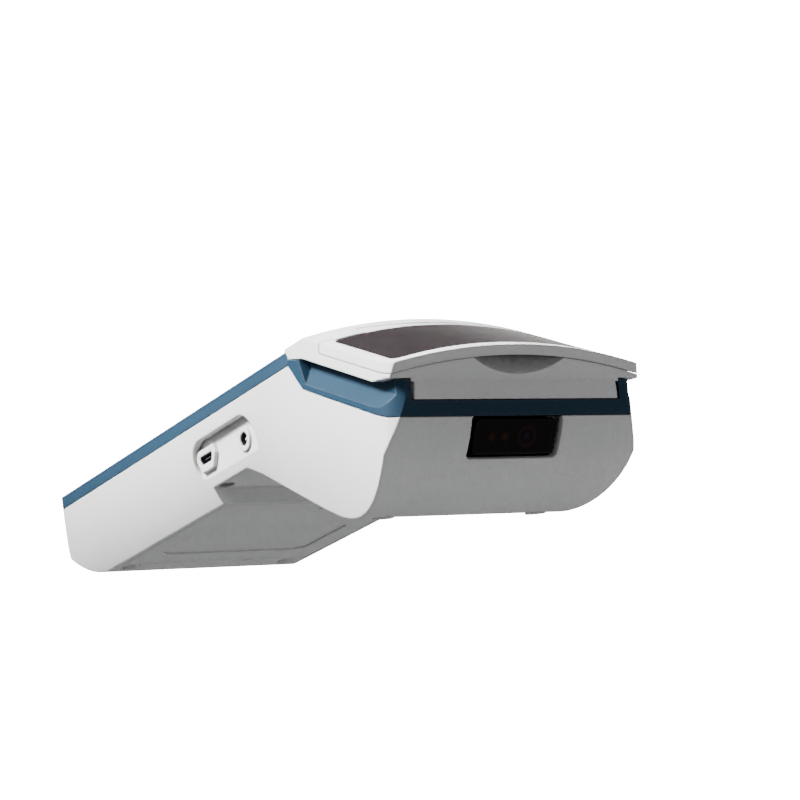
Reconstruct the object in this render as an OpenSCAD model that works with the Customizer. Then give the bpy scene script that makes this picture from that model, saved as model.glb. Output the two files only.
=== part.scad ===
// Handheld card payment terminal with a receipt printer head and a code scanner.
// The handset is a slab that rises towards the printer head; the head bends down again.
// X is across the device, +Y points to the printer head, Z is up, the feet stand on z = 0.
// The origin is under the middle of the bounding box.

/* [Body] */
// full width of the device at the coloured rim, mm
body_w = 84; // [76:0.5:92]
// slope of the handset slab, degrees
slab_tilt = 9; // [6:0.5:12]
// thickness of the handset slab below its rim, mm
slab_t = 23.4; // [20:0.2:28]
// height of the coloured rim strip, mm
rim_h = 5; // [3:0.5:8]
// wall thickness of the plastic shells, mm
wall = 2; // [1.6:0.2:3]
// corner radius at the user end, seen from above, mm
end_r = 12; // [8:1:18]

/* [Printer head] */
// slope of the printer lid, degrees
lid_tilt = 18.2; // [14:0.2:24]
// height of the crown of the lid above its edges, mm
crown_h = 5.6; // [2:0.2:8]
// thickness of the lid at its edge, mm
lid_t = 3; // [2:0.2:4]
// radius of the curved end face, mm
nose_r = 31.3; // [28:0.1:34]
// diameter of the paper roll, mm
roll_d = 34; // [20:1:34]
// width of the paper roll, mm
roll_w = 57; // [50:1:58]

/* [Scanner] */
// width of the scan window, mm
scan_w = 27; // [20:1:34]
// height of the scan window, mm
scan_h = 10.2; // [8:0.2:14]

/* [Controls and sockets] */
// diameter of the charging jack hole, mm
jack_d = 4.2; // [3:0.1:6]
// travel of the side buttons, mm
button_travel = 0.3; // [0.2:0.05:0.5]

/* [Hidden] */
$fn = 64;
c0 = -78.5;
hw = body_w / 2;
under0 = 0.72;
ts = tan(slab_tilt);
tl = tan(lid_tilt);
// point on the edge line of the lid, side view
ly = 148.1;
lz = 48.9;
// centre of the nose arc, side view
ny = 149.8;
nz = 31.6;
crown_r = (hw * hw + crown_h * crown_h) / (2 * crown_h);
// lid hinge axis
hinge_y = 147.5;
hinge_z = 50.5;
// platen, print head and gears
platen_y = 171.3;
platen_z = 35.4;
platen_d = 8;
gear_x = -33.3;
gear_w = 2.2;
tooth_m = 0.5;
platen_teeth = 20;
idler_teeth = 16;
pinion_teeth = 12;
motor_y = 170.6;
motor_z = 20.2;
// the idler meshes with both: centre distances are the pitch radii plus 0.1
r_pi = (platen_teeth + idler_teeth) * tooth_m / 2 + 0.1;
r_im = (idler_teeth + pinion_teeth) * tooth_m / 2 + 0.1;
d_pm = sqrt((platen_y - motor_y) * (platen_y - motor_y) + (platen_z - motor_z) * (platen_z - motor_z));
a_pm = (r_pi * r_pi - r_im * r_im + d_pm * d_pm) / (2 * d_pm);
h_pm = sqrt(r_pi * r_pi - a_pm * a_pm);
u_y = (motor_y - platen_y) / d_pm;
u_z = (motor_z - platen_z) / d_pm;
idler_y = platen_y + a_pm * u_y + h_pm * u_z;
idler_z = platen_z + a_pm * u_z - h_pm * u_y;
// tooth phase of a gear that meshes with one turned by t, along the line of centres at angle a
function phase(a, za, zb, t) = a * (1 + za / zb) + 180 + 180 / zb - t * za / zb;
idler_turn = phase(atan2(idler_z - platen_z, idler_y - platen_y), platen_teeth, idler_teeth, 0);
pinion_turn = phase(atan2(motor_z - idler_z, motor_y - idler_y), idler_teeth, pinion_teeth, idler_turn);
// the heater strip touches the paper on the platen along this direction
head_a = -37.7;
roll_y = 145.2;
roll_z = 23.6;

// ---------- frames and helpers ----------

module place() {
    translate([0, c0, 0]) children();
}

module slab() {
    place() translate([0, 0, under0]) rotate([slab_tilt, 0, 0]) children();
}

module lid_plane() {
    place() translate([0, ly, lz]) rotate([-lid_tilt, 0, 0]) children();
}

// a 2D shape drawn in (y, z), extruded across the device
module side(w) {
    place() rotate([90, 0, 90]) linear_extrude(height = w, center = true) children();
}

// the same, between two x values
module side_at(x1, x2) {
    place() translate([x1, 0, 0]) rotate([90, 0, 90]) linear_extrude(height = x2 - x1) children();
}

module x_cyl(d, x1, x2, y, z) {
    place() translate([x1, y, z]) rotate([0, 90, 0]) cylinder(d = d, h = x2 - x1);
}

module box(x1, x2, y1, y2, z1, z2) {
    translate([x1, y1, z1]) cube([x2 - x1, y2 - y1, z2 - z1]);
}

module rounded_rect(w, h, r) {
    union() {
        square([w - 2 * r, h], center = true);
        square([w, h - 2 * r], center = true);
        for (sx = [-1, 1], sy = [-1, 1])
            translate([sx * (w / 2 - r), sy * (h / 2 - r)]) circle(r = r);
    }
}

// points along an arc from angle a1 to a2
function arc(cy, cz, r, a1, a2, n) = [for (k = [0:n]) let (a = a1 + (a2 - a1) * k / n)
    [cy + r * cos(a), cz + r * sin(a)]];

// cross-section with curved side walls below the line v = 0
module bowed_section(half, r, depth, up) {
    intersection() {
        translate([-half, -depth]) square([2 * half, depth + up]);
        union() {
            translate([-half, 0]) square([2 * half, up]);
            intersection() {
                translate([-(r - half), 0]) circle(r = r, $fn = 128);
                translate([r - half, 0]) circle(r = r, $fn = 128);
            }
        }
    }
}

// ---------- outer volumes ----------

// handset slab, inset by i
module slab_volume(i) {
    slab() intersection() {
        rotate([90, 0, 90]) linear_extrude(height = body_w + 4, center = true)
            polygon(concat([[-24 + i, 41]], arc(-3, 21, 21 - i, 180, 270, 16), [[145, i], [145, 41]]));
        translate([0, 150, slab_t]) rotate([90, 0, 0]) linear_extrude(height = 200)
            bowed_section(hw - i, 42 - i, slab_t, 20);
        translate([0, 0, -1]) linear_extrude(height = 50) union() {
            translate([-hw + i, -24 + end_r]) square([body_w - 2 * i, 170]);
            translate([-hw + end_r, -24 + i]) square([body_w - 2 * end_r, 40]);
            for (sx = [-1, 1]) translate([sx * (hw - end_r), -24 + end_r]) circle(r = end_r - i);
        }
    }
}

// plan outline of the head with rounded corners, reaching past the nose centre
module plan_prism(i, reach) {
    place() translate([0, ny, nz - 50])
        linear_extrude(height = 100) union() {
            translate([-hw + i, -80]) square([body_w - 2 * i, reach - 9 + 80]);
            translate([-hw + 9, -80]) square([body_w - 18, reach - i + 80]);
            for (sx = [-1, 1]) translate([sx * (hw - 9), reach - 9]) circle(r = 9 - i);
        }
}

// printer head volume, inset by i, up to well above the lid; ye is where the end face stands
module head_volume(i, ye = ny + nose_r) {
    intersection() {
        side(body_w + 4) polygon(concat([[ny + 44.7 - i, 70], [94, 70], [94, 19.2 + i * 1.07]],
            arc(ny, nz, nose_r - i, -111.2, 4, 32)));
        place() translate([0, 138, 37.4]) rotate([-18.6, 0, 0]) translate([0, 70, 0])
            rotate([90, 0, 0]) linear_extrude(height = 140) bowed_section(hw - i, 75 - i, 48, 30);
        plan_prism(i, ye - ny + 0.5);
    }
}

// everything under the top edge of the white lower shell
module below_tub(d) {
    side(body_w + 20) polygon([[-60, -10], [-60, 45.1 + (-60 - 130.7) * ts - d], [130.7, 45.1 - d],
        [137.9, 37.4 - d], [178, 23.9 - d], [200, 23.4 - d], [200, -10]]);
}

module step_cut() {
    // the neck between the battery cover and the printer head is cut back
    side(body_w + 20) polygon([[76.2, -20], [75.2, 17.6], [96, 20.9], [138, 2.2], [138, -20]]);
}

// all material under the crowned top surface, lowered by d
module crown(d) {
    translate([0, 0, -d]) intersection() {
        lid_plane() crown_bar();
        place() translate([0, 129.64, 50]) rotate([slab_tilt, 0, 0]) crown_bar();
    }
}

module crown_bar() {
    translate([0, 66, 0]) rotate([90, 0, 0]) linear_extrude(height = 110) intersection() {
        translate([0, crown_h - crown_r]) circle(r = crown_r, $fn = 256);
        translate([-hw, -46]) square([body_w, 46 + crown_h]);
    }
}

// ---------- shells ----------

module port_pocket() {
    // flat-bottomed scoop in the side wall around the two sockets
    slab() translate([38.9, 91.5, 12.3]) rotate([90, 0, 90]) linear_extrude(height = 6)
        rounded_rect(37, 13, 6.4);
}

module bottom_case() {
    color([0.93, 0.93, 0.93]) difference() {
        union() {
            difference() {
                union() {
                    intersection() {
                        slab_volume(0);
                        below_tub(0);
                    }
                    intersection() {
                        head_volume(0);
                        below_tub(0);
                    }
                }
                step_cut();
                difference() {
                    union() {
                        slab_volume(wall);
                        head_volume(wall);
                    }
                    // keep a floor in the neck
                    side(body_w) polygon([[74, 0], [73, 19.6], [96.4, 23], [142, 3], [142, -10]]);
                    slab() box(-hw, hw, 71.8, 75, -2, 16.2);
                }
                port_pocket();
                // opening for the battery cover, room for the battery
                slab() box(-33.2, 33.2, 4, 74.6, -3, 2.2);
                slab() box(-31, 31, 6, 72, -3, 15.2);
                // card slot at the user end
                slab() box(-28, 28, -30, -8, 17, 19.2);
            }
            // battery bay: flange that carries the cover, walls and roof
            intersection() {
                slab_volume(1);
                slab() difference() {
                    union() {
                        box(-38, 38, 3, 75.4, 2.2, 3.8);
                        box(-32.6, 32.6, 4.4, 73.6, 2.2, 16.2);
                    }
                    box(-31, 31, 6, 72, 0, 15.2);
                    box(-8.5, 8.5, 65, 70, 10, 20);
                }
            }
            for (sx = [-1, 1]) slab() translate([sx * 22, 69, 16]) cylinder(d = 5.5, h = 6.1);
            // thicker wall behind the socket pocket
            intersection() {
                slab_volume(0.7);
                slab() box(36.9, 38.9, 73.2, 111.6, 4.5, 19.6);
            }
            // bosses for the printer cradle
            for (sx = [-1, 1]) place() translate([sx * 19.6, 169, 8.6]) cylinder(d = 4.4, h = 16.8);
            // socket bosses
            slab() translate([37.4, 79.4, 13.1]) rotate([90, 0, 90]) linear_extrude(height = 2.7)
                polygon([[-5.2, 3.2], [5.2, 3.2], [5.8, 0.4], [3.4, -3.6], [-3.4, -3.6], [-5.8, 0.4]]);
            slab() translate([37.4, 101.8, 12.4]) rotate([0, 90, 0]) cylinder(d = 7, h = 2.2);
        }
        // micro-USB mouth and charging jack mouth
        slab() translate([30, 79.4, 13.1]) rotate([90, 0, 90]) linear_extrude(height = 14)
            polygon([[-3.75, 1.4], [3.75, 1.4], [3.75, 0], [2.7, -1.4], [-2.7, -1.4], [-3.75, 0]]);
        slab() translate([29, 101.8, 12.4]) rotate([0, 90, 0]) cylinder(d = jack_d, h = 14);
        // scan window frame
        scan_tool(scan_w, scan_h, 160, 200);
        scan_tool(scan_w + 3, scan_h + 2.4, 160, 178.3);
        // holes for feet, screws and speaker
        for (sx = [-1, 1]) {
            place() translate([sx * 25.6, 148, -1]) cylinder(d = 6.1, h = 2.6);
            place() translate([sx * 28.4, 0.6, -1]) cylinder(d = 5.7, h = 2.8);
            slab() translate([sx * 22, 69, 10]) cylinder(d = 2.4, h = 30);
            place() translate([sx * 19.6, 169, 14]) cylinder(d = 1.9, h = 30);
        }
        for (k = [0:4])
            slab() translate([-hw, 92 + 3 * k, 12]) rotate([0, 90, 0]) cylinder(d = 1.4, h = 8, center = true);
        // round recess beside the step
        slab() translate([34.6, 79.6, 3]) cylinder(d = 4.6, h = 4.6);
    }
}

// box that follows the slanted end face behind the scan window
module scan_tool(w, h, y1, y2) {
    place() translate([0, 178, 18.4]) rotate([-24, 0, 0]) translate([0, (y1 + y2) / 2 - 178, 0])
        rotate([90, 0, 0]) linear_extrude(height = y2 - y1, center = true) rounded_rect(w, h, 1.6);
}

module rim_ring() {
    // coloured strip around the handset, slightly drafted
    intersection() {
        slab_volume(0.05);
        slab() translate([0, 150, slab_t]) rotate([90, 0, 0]) linear_extrude(height = 200)
            polygon([[-hw, -8], [-hw, 0.4], [-hw + 1.7, rim_h], [hw - 1.7, rim_h], [hw, 0.4], [hw, -8]]);
        slab() rotate([90, 0, 90]) linear_extrude(height = 100, center = true)
            polygon([[-24, 10], [-24, slab_t + 0.4], [-22.3, slab_t + rim_h], [135.4, slab_t + rim_h],
                [140, 20], [140, 10]]);
    }
}

module mid_frame() {
    color([0.12, 0.27, 0.42]) union() {
        difference() {
            rim_ring();
            below_tub(-0.25);
            // recess for the touch glass, opening for the display
            slab() translate([0, 56.5, slab_t + rim_h - 1.3]) linear_extrude(height = 5) rounded_rect(76.6, 148.6, 6.3);
            slab() difference() {
                translate([0, 56.5, 10]) linear_extrude(height = 40) rounded_rect(72, 142, 4);
                // carrier plate under the display
                box(-40, 40, -20, 130, 24.4, 24.9);
                for (sx = [-1, 1]) translate([sx * 22, 69, 23.5]) cylinder(d = 5, h = 1.2);
            }
            for (sx = [-1, 1]) slab() translate([sx * 22, 69, 20]) cylinder(d = 2.3, h = 10);
            // side button windows on the -X side
            slab() box(-hw - 1, -hw + 8, 79.8, 90.2, 23.9, 27.1);
            slab() box(-hw - 1, -hw + 8, 95.8, 106.2, 23.9, 27.1);
            slab() box(-hw - 1, -hw + 8, 53.8, 70.2, 23.9, 27.1);
            side(body_w + 4) polygon([[131, 0], [131, 80], [160, 80], [160, 0]]);
        }
        difference() {
            intersection() {
                head_volume(0.05);
                side(body_w + 4) polygon([[130.4, 46.6], [131.2, 46.8], [138.7, 45.9], [174.1, 34.1],
                    [186, 33.8], [186, 23.6], [178, 24.15], [137.9, 37.65], [130.7, 45.35],
                    [130.4, 45.35 - 0.3 * ts]]);
                head_rim_section();
            }
            // ledge under the end panel
            side(68.6) polygon([[176, 28.2], [190, 28.2], [190, 40], [176, 40]]);
            // open inside
            place() box(-36, 36, 110, 176.2, 0, 60);
            place() box(-36, 36, 110, 178.2, 28.2, 60);
        }
    }
}

// head-side groove profile swept along the lid slope, plain over the end face
module head_rim_section() {
    union() {
        lid_plane() translate([0, 42, 0]) rotate([90, 0, 0]) linear_extrude(height = 70) polygon([
            [-hw, -20], [-hw, -12.4], [-hw + 0.7, -11.9], [-hw + 3.6, -8.2], [-hw + 3.6, 0],
            [hw - 3.6, 0], [hw - 3.6, -8.2], [hw - 0.7, -11.9], [hw, -12.4], [hw, -20]]);
        // ramp that closes the groove at the user end
        side(body_w) polygon([[129, 50], [135.2, 50], [141.4, 34], [129, 34]]);
    }
}

module head_frame() {
    color([0.94, 0.94, 0.94]) difference() {
        intersection() {
            head_volume(0, 185.4);
            crown(0);
            side(body_w + 4) polygon([[129.6, 49.68], [136, 57.4], [136, 70], [200, 70], [200, 28.5], [176.4, 28.5],
                [174.6, 34.05], [138.7, 46], [131.2, 46.95],
                [131.1, 47.75]]);
        }
        // lid seat; the roof reaches forward beside the hinge barrel
        difference() {
            union() {
                side(body_w + 20) polygon([[149.7, 30], [149.7, 80], [200, 80], [200, 30]]);
                side(54.8) polygon([[148.2, 30], [148.2, 80], [151, 80], [151, 30]]);
                for (x = [-52, 37.4]) side_at(x, x + 14.6)
                    polygon([[148.2, 30], [148.2, 80], [151, 80], [151, 30]]);
            }
            crown(lid_t + 0.2);
        }
        // the end panel stands between two ears of the coloured frame
        for (sx = [-1, 1]) place() translate([sx * 44.1, 180, 0]) rotate([0, sx * -4, 0])
            translate([-8.6, -8, 20]) cube([17.2, 20, 13.9]);
        for (x = [-46, 34.2]) place() box(x, x + 11.8, 172, 192, 20, 34.2);
        // paper bay opening and the space under it
        place() box(-31, 31, 151, 178.6, 10, 70);
        intersection() {
            crown(2.8);
            place() box(-35, 35, 133.5, 178.6, 20, 60);
        }
        // room for the heat plate and for the swing of the platen gear
        place() box(-30.6, 30.6, 170, 179.2, 20, 36);
        place() box(-35, -31.8, 170, 179.4, 33, 60);
        // hinge barrel room
        x_cyl(9.4, -27.4, 27.4, hinge_y, hinge_z);
        x_cyl(2.2, -29.8, 29.8, hinge_y, hinge_z);
        place() box(-27.4, 27.4, 147.5, 152, 40, 51);
        // finger recess under the front edge of the lid
        place() translate([0, 216.3, 51.1]) sphere(r = 38, $fn = 96);
    }
}

// ---------- lid ----------

// pocket for the dark window in the top of the lid
module window_pocket() {
    intersection() {
        difference() {
            crown(-1);
            crown(1.2);
        }
        place() translate([0, 165.3, 20]) linear_extrude(height = 50) rounded_rect(77.4, 30.2, 2.4);
    }
}

module lid_shell() {
    difference() {
        intersection() {
            head_volume(0, 185.4);
            difference() {
                crown(0);
                crown(lid_t);
            }
            side(body_w + 20) polygon([[148.5, 20], [148.5, 80], [200, 80], [200, 20]]);
        }
        x_cyl(2.3, -27.2, 27.2, hinge_y, hinge_z);
        // clear of the roof beside the barrel
        for (x = [-37.8, 27.1]) place() box(x, x + 10.7, 140, 150.2, 30, 70);
        // room for the spring and the platen gear
        place() box(-8, 8, 130, 149.7, 40, 52.8);
        x_cyl(12, -34.9, -31.7, platen_y, platen_z);
    }
}

module paper_lid() {
    color([0.95, 0.95, 0.95]) difference() {
        lid_body();
        window_pocket();
    }
}

module lid_body() {
    union() {
        lid_shell();
        // hinge barrel under the crown
        difference() {
            intersection() {
                x_cyl(8.6, -27, 27, hinge_y, hinge_z);
                crown(0.05);
            }
            x_cyl(2.3, -40, 40, hinge_y, hinge_z);
            place() box(-8, 8, 130, 149.7, 40, 52.8);
        }
        // underside web from the barrel to the shell and two stiffening ribs
        difference() {
            intersection() {
                side(53.6) polygon([[148.6, 49], [148.6, 52.4], [154, 51.6], [154, 47.6], [150.4, 48.4]]);
                crown(2);
            }
            x_cyl(2.3, -40, 40, hinge_y, hinge_z);
            place() box(-8, 8, 130, 149.7, 40, 52.8);
        }
        for (sx = [-1, 1]) intersection() {
            side_at(sx * 29.4 - 0.6, sx * 29.4 + 0.6) polygon([[152, 44.4], [152, 50], [161.4, 50], [161.4, 41.3]]);
            crown(lid_t - 0.2);
        }
    }
}

module lid_window() {
    color([0.2, 0.16, 0.17]) intersection() {
        difference() {
            crown(0.1);
            crown(1.15);
        }
        place() translate([0, 165.3, 20]) linear_extrude(height = 50) rounded_rect(77.2, 30, 2.3);
    }
}

module hinge_pin() {
    color([0.7, 0.7, 0.72]) x_cyl(2.1, -29.6, 29.6, hinge_y, hinge_z);
}

module lid_spring() {
    // torsion spring coils around the pin
    color([0.6, 0.6, 0.62]) difference() {
        union() {
            for (k = [0:5]) x_cyl(3.9, 1.3 * k - 3.75, 1.3 * k - 2.75, hinge_y, hinge_z);
            x_cyl(3.2, -3.75, 3.75, hinge_y, hinge_z);
        }
        x_cyl(2.4, -20, 20, hinge_y, hinge_z);
    }
}

module platen_carrier() {
    // bracket under the lid that holds the platen ends
    color([0.25, 0.25, 0.27]) difference() {
        intersection() {
            union() {
                for (sx = [-1, 1]) side_at(sx * 30.4 - 0.9, sx * 30.4 + 0.9) union() {
                    translate([platen_y, platen_z]) circle(d = 7);
                    polygon([[161.6, 40.4], [161.6, 50], [platen_y, 50], [platen_y + 2.7, 38.4], [platen_y, 33],
                        [platen_y - 3.4, 35]]);
                }
                side(62.6) polygon([[161.6, 40.4], [161.6, 50], [163, 50], [163, 41.2], [167.4, 39.9], [167.4, 39]]);
            }
            crown(lid_t + 0.02);
        }
        x_cyl(3.04, -40, 40, platen_y, platen_z);
    }
}

module platen_roller() {
    color([0.1, 0.1, 0.1]) difference() {
        x_cyl(platen_d, -28.6, 28.6, platen_y, platen_z);
        x_cyl(4, -40, 40, platen_y, platen_z);
    }
}

module platen_shaft() {
    color([0.72, 0.72, 0.74]) union() {
        x_cyl(4, -28.6, 28.6, platen_y, platen_z);
        x_cyl(2.96, -34.6, 31.6, platen_y, platen_z);
    }
}

// spur gear along X with straight-sided teeth
module gear(z, y0, z0, x1, x2, bore, turn) {
    r = z * tooth_m / 2;
    place() translate([x1, y0, z0]) rotate([90, 0, 90]) rotate(turn) linear_extrude(height = x2 - x1)
        difference() {
            union() {
                circle(r = r - 0.55);
                for (k = [0:z - 1]) rotate(360 * k / z) polygon([[r - 0.8, -0.42], [r + 0.38, -0.16],
                    [r + 0.38, 0.16], [r - 0.8, 0.42]]);
            }
            circle(d = bore);
        }
}

module platen_gear() {
    color([0.9, 0.88, 0.8]) gear(platen_teeth, platen_y, platen_z, gear_x - gear_w / 2,
        gear_x + gear_w / 2, 2.96, 0);
}

module idler_gear() {
    color([0.9, 0.88, 0.8]) gear(idler_teeth, idler_y, idler_z, gear_x - gear_w / 2,
        gear_x + gear_w / 2, 2.06, idler_turn);
}

module motor_pinion() {
    color([0.8, 0.68, 0.35]) gear(pinion_teeth, motor_y, motor_z, gear_x - gear_w / 2,
        gear_x + gear_w / 2, 1.5, pinion_turn);
}

module stepper_motor() {
    color([0.55, 0.55, 0.57]) union() {
        x_cyl(10, -31.2, -22.6, motor_y, motor_z);
        x_cyl(4, -31.7, -31.2, motor_y, motor_z);
        x_cyl(1.48, -34.6, -31.6, motor_y, motor_z);
    }
}

module printer_chassis() {
    // sheet-metal cradle behind the end panel
    color([0.65, 0.65, 0.67]) difference() {
        union() {
            for (x = [-32, 31.5]) side_at(x, x + 0.5)
                polygon([[165, 16], [165, 24], [166, 30], [172.4, 30], [175.8, 26.8], [175.8, 22], [173, 15.5]]);
            difference() {
                side(64) polygon([[166, 25.6], [166, 26.4], [174.8, 26.4], [174.8, 25.6]]);
                place() box(-11.4, 11.4, 168.4, 180, 20, 30);
            }
            x_cyl(2, -34.6, -31.9, idler_y, idler_z);
        }
        for (sx = [-1, 1]) place() translate([sx * 19.6, 169, 20]) cylinder(d = 1.9, h = 10);
        x_cyl(4.6, -33, -31, motor_y, motor_z);
    }
}

// frame on the platen axis, its first axis pointing at the heater strip
module head_section(w) {
    side(w) translate([platen_y, platen_z]) rotate(head_a) children();
}

module print_head() {
    // ceramic heater strip that presses on the platen
    color([0.85, 0.82, 0.74]) head_section(58) translate([4.15, -4.6]) square([0.65, 7.2]);
}

module heat_plate() {
    color([0.75, 0.75, 0.77]) head_section(59) translate([4.8, -4.9]) square([1.2, 7.6]);
}

module head_springs() {
    color([0.6, 0.6, 0.62]) for (sx = [-1, 1]) place() translate([sx * 18, platen_y, platen_z])
        rotate([head_a, 0, 0]) translate([0, 6, -1.2]) rotate([-90, 0, 0]) difference() {
            cylinder(d = 3, h = 1.4);
            translate([0, 0, -1]) cylinder(d = 2, h = 4);
        }
}

module tear_bar() {
    // serrated steel strip on the inside of the end panel
    color([0.75, 0.75, 0.77]) difference() {
        side(58) polygon([[178.3, 36.4], [178.6, 36.4], [178.6, 38.3], [178.3, 38.3]]);
        for (k = [-14:14]) place() translate([2 * k, 178.4, 38.3]) rotate([0, 45, 0])
            cube([0.8, 2, 0.8], center = true);
    }
}

module paper_bay() {
    // open-topped tub for the roll
    color([0.3, 0.3, 0.32]) difference() {
        intersection() {
            side(62) union() {
                translate([roll_y, roll_z]) circle(r = roll_d / 2 + 1.8, $fn = 96);
                translate([roll_y - roll_d / 2 - 1.8, roll_z]) square([roll_d + 3.6, 16]);
            }
            side(70) polygon([[100, -10], [100, 43.4], [140, 43.4], [168, 34.6], [168, -10]]);
            head_volume(wall + 0.15);
        }
        side(60) union() {
            translate([roll_y, roll_z]) circle(r = roll_d / 2 + 0.6, $fn = 96);
            translate([roll_y - roll_d / 2 - 0.6, roll_z]) square([roll_d + 1.2, 30]);
        }
    }
}

module paper_roll() {
    color([0.97, 0.97, 0.96]) difference() {
        x_cyl(roll_d, -roll_w / 2, roll_w / 2, roll_y, roll_z);
        x_cyl(12, -40, 40, roll_y, roll_z);
    }
}

module roll_core() {
    color([0.35, 0.3, 0.28]) difference() {
        x_cyl(12, -roll_w / 2, roll_w / 2, roll_y, roll_z);
        x_cyl(9, -40, 40, roll_y, roll_z);
    }
}

// ---------- scanner ----------

module scan_frame() {
    place() translate([0, 178, 18.4]) rotate([-24, 0, 0]) children();
}

module scan_window() {
    color([0.08, 0.04, 0.04]) scan_tool(scan_w - 0.3, scan_h - 0.3, 176.3, 177.6);
}

module scan_engine() {
    color([0.15, 0.15, 0.16]) difference() {
        scan_tool(21, 9.4, 167.2, 175.6);
        scan_frame() translate([-4, -2, 0]) rotate([90, 0, 0]) cylinder(d = 5.4, h = 6);
        for (dx = [3.2, 7.4]) scan_frame() translate([dx, -2, 0]) rotate([90, 0, 0])
            cylinder(d = 3, h = 1.6);
    }
}

module scan_lens() {
    color([0.1, 0.1, 0.14]) scan_frame() translate([-4, -2.6, 0]) rotate([90, 0, 0])
        cylinder(d = 5.3, h = 5);
}

module scan_leds() {
    color([0.95, 0.9, 0.6]) for (dx = [3.2, 7.4]) scan_frame() translate([dx, -2.1, 0]) rotate([90, 0, 0])
        cylinder(d = 2.9, h = 1.4);
}

// ---------- handset contents ----------

module touch_glass() {
    color([0.03, 0.03, 0.04]) slab() translate([0, 56.5, slab_t + rim_h - 1.3]) linear_extrude(height = 2.1)
        rounded_rect(76.2, 148.2, 6);
}

module lcd_module() {
    color([0.12, 0.12, 0.14]) slab() translate([0, 56, slab_t + 1.5]) linear_extrude(height = 2.2)
        rounded_rect(69, 128, 1.5);
}

module nfc_antenna() {
    color([0.75, 0.5, 0.3]) slab() translate([0, 60, 23.9]) linear_extrude(height = 0.5) difference() {
        rounded_rect(58, 66, 4);
        rounded_rect(50, 58, 3);
    }
}

module main_pcb() {
    color([0.05, 0.3, 0.18]) slab() difference() {
        box(-36.4, 36.4, -8, 126, 22.2, 23.4);
        for (sx = [-1, 1]) translate([sx * 22, 69, 10]) cylinder(d = 2.8, h = 20);
    }
}

module shield_cans() {
    color([0.7, 0.7, 0.72]) slab() union() {
        box(-28, -4, 84, 110, 19.6, 22.2);
        box(2, 22, 88, 108, 19.9, 22.2);
    }
}

module sim_sam_holders() {
    color([0.6, 0.6, 0.62]) slab() union() {
        box(-27, -11, 38, 64, 20.4, 22.2);
        box(-8, 8, 38, 64, 20.4, 22.2);
        box(11, 26, 40, 58, 20.4, 22.2);
    }
}

module card_reader() {
    // chip card connector with a slot towards the user
    color([0.1, 0.1, 0.11]) slab() difference() {
        box(-29, 29, -19, 35, 16.4, 20.2);
        box(-27.4, 27.4, -20, 32, 17.6, 18.6);
    }
}

module speaker() {
    color([0.15, 0.15, 0.16]) slab() difference() {
        box(-36.4, -24.4, 88, 108, 8.4, 13.6);
        translate([-37, 98, 11]) rotate([0, 90, 0]) cylinder(d = 3, h = 6);
    }
}

module usb_receptacle() {
    color([0.35, 0.35, 0.37]) slab() difference() {
        box(31.2, 36.7, 75.3, 83.5, 11.4, 14.8);
        translate([32, 79.4, 13.1]) rotate([90, 0, 90]) linear_extrude(height = 6)
            polygon([[-3.45, 1.15], [3.45, 1.15], [3.45, -0.1], [2.5, -1.2], [-2.5, -1.2], [-3.45, -0.1]]);
    }
}

module dc_jack() {
    color([0.13, 0.13, 0.14]) slab() union() {
        difference() {
            box(26, 36.4, 97.6, 106, 8.6, 16.4);
            translate([28, 101.8, 12.4]) rotate([0, 90, 0]) cylinder(d = jack_d, h = 12);
        }
        translate([27, 101.8, 12.4]) rotate([0, 90, 0]) cylinder(d = 1.2, h = 9.3);
    }
}

// side buttons sit in the rim on the -X side
module side_button(s, len) {
    slab() union() {
        translate([-hw - 0.3, s, 25.5]) rotate([90, 0, 90]) linear_extrude(height = 2.3)
            rounded_rect(len, 2.8, 1.3);
        translate([-hw + 2, s, 25.5]) rotate([90, 0, 90]) linear_extrude(height = 1.6)
            rounded_rect(len - 1, 2.4, 1);
    }
}

module power_button() {
    color([0.5, 0.52, 0.55]) side_button(101, 10);
}

module scan_button() {
    color([0.85, 0.5, 0.12]) side_button(85, 10);
}

module volume_rocker() {
    // rocks about a small pivot behind its middle
    color([0.5, 0.52, 0.55]) union() {
        side_button(62, 16);
        slab() translate([-38.2, 62, 24.3]) cylinder(d = 1.8, h = 2.4);
    }
}

// ---------- underside ----------

module battery_cover() {
    color([0.9, 0.9, 0.9]) difference() {
        slab() union() {
            box(-33, 33, 4.2, 74.4, 0, 2.1);
            // locating hooks at the user end
            for (sx = [-1, 1]) box(sx * 20 - 3, sx * 20 + 3, 6.3, 8, 2, 4.4);
        }
        // shallow label field with cut corners
        slab() translate([0, 31.6, -1]) linear_extrude(height = 1.5) polygon([[-26, -13.2], [-23, -16.2],
            [23, -16.2], [26, -13.2], [26, 13.2], [23, 16.2], [-23, 16.2], [-26, 13.2]]);
        // latch window
        slab() box(-17.2, -2.8, 66.8, 72.2, -1, 3);
    }
}

module cover_latch() {
    color([0.3, 0.31, 0.33]) slab() union() {
        box(-14.6, -5.4, 67.2, 71.8, 0.3, 2.4);
        for (k = [-1:1]) box(-10.35 + 2 * k, -9.65 + 2 * k, 67.6, 71.4, 0.05, 0.4);
    }
}

module battery_pack() {
    color([0.16, 0.17, 0.2]) slab() difference() {
        box(-30, 30, 9, 65, 2.6, 15);
        box(-20, 20, 63, 67, 10, 13);
    }
}

module battery_contacts() {
    color([0.85, 0.7, 0.3]) slab() for (k = [-2:2]) union() {
        box(3 * k - 0.5, 3 * k + 0.5, 65.3, 67.4, 10.8, 12.2);
        box(3 * k - 0.5, 3 * k + 0.5, 66.6, 67.4, 12.2, 22.2);
    }
}

module rubber_feet() {
    color([0.75, 0.75, 0.75]) union() {
        for (sx = [-1, 1]) place() translate([sx * 28.4, 0.6, 0]) cylinder(d = 5.6, h = 1.8);
        for (sx = [-1, 1]) place() translate([sx * 25.6, 148, 0]) cylinder(d = 6, h = 1.6);
    }
}

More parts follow.
